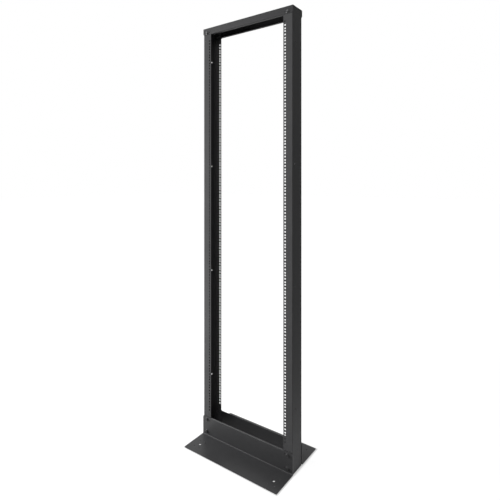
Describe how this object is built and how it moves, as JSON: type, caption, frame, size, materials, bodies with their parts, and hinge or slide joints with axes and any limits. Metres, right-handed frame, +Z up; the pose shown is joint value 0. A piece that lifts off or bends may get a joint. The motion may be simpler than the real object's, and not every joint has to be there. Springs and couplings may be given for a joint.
{
  "type": "two post open frame rack",
  "caption": "Free-standing two post open frame rack: two C-section posts with square rack holes, bolted between folded base angles and top angles.",
  "frame": {"origin": "on the floor, midway between the two posts and midway between their front and rear faces", "axes": "+Z up along the posts, -Y towards the front, +X to the right when seen from the front"},
  "size_m": [0.552, 0.39, 2.198],
  "materials": {
    "post_coat": "satin black powder coat with a fine texture",
    "base_coat": "satin black powder coat with a fine texture",
    "top_coat": "satin black powder coat with a fine texture",
    "bolt_black": "black plated steel, low gloss",
    "nut_black": "black plated steel, low gloss"
  },
  "bodies": {
    "root": {"left_post": "post_coat", "right_post": "post_coat", "front_base_angle": "base_coat", "rear_base_angle": "base_coat", "front_top_angle": "top_coat", "rear_top_angle": "top_coat", "front_left_low_bolt": "bolt_black", "front_left_high_bolt": "bolt_black", "front_left_top_bolt": "bolt_black", "front_right_low_bolt": "bolt_black", "front_right_high_bolt": "bolt_black", "front_right_top_bolt": "bolt_black", "rear_left_low_bolt": "bolt_black", "rear_left_high_bolt": "bolt_black", "rear_left_top_bolt": "bolt_black", "rear_right_low_bolt": "bolt_black", "rear_right_high_bolt": "bolt_black", "rear_right_top_bolt": "bolt_black", "front_left_low_nut": "nut_black", "front_left_high_nut": "nut_black", "front_left_top_nut": "nut_black", "front_right_low_nut": "nut_black", "front_right_high_nut": "nut_black", "front_right_top_nut": "nut_black", "rear_left_low_nut": "nut_black", "rear_left_high_nut": "nut_black", "rear_left_top_nut": "nut_black", "rear_right_low_nut": "nut_black", "rear_right_high_nut": "nut_black", "rear_right_top_nut": "nut_black"}
  },
  "joints": []
}
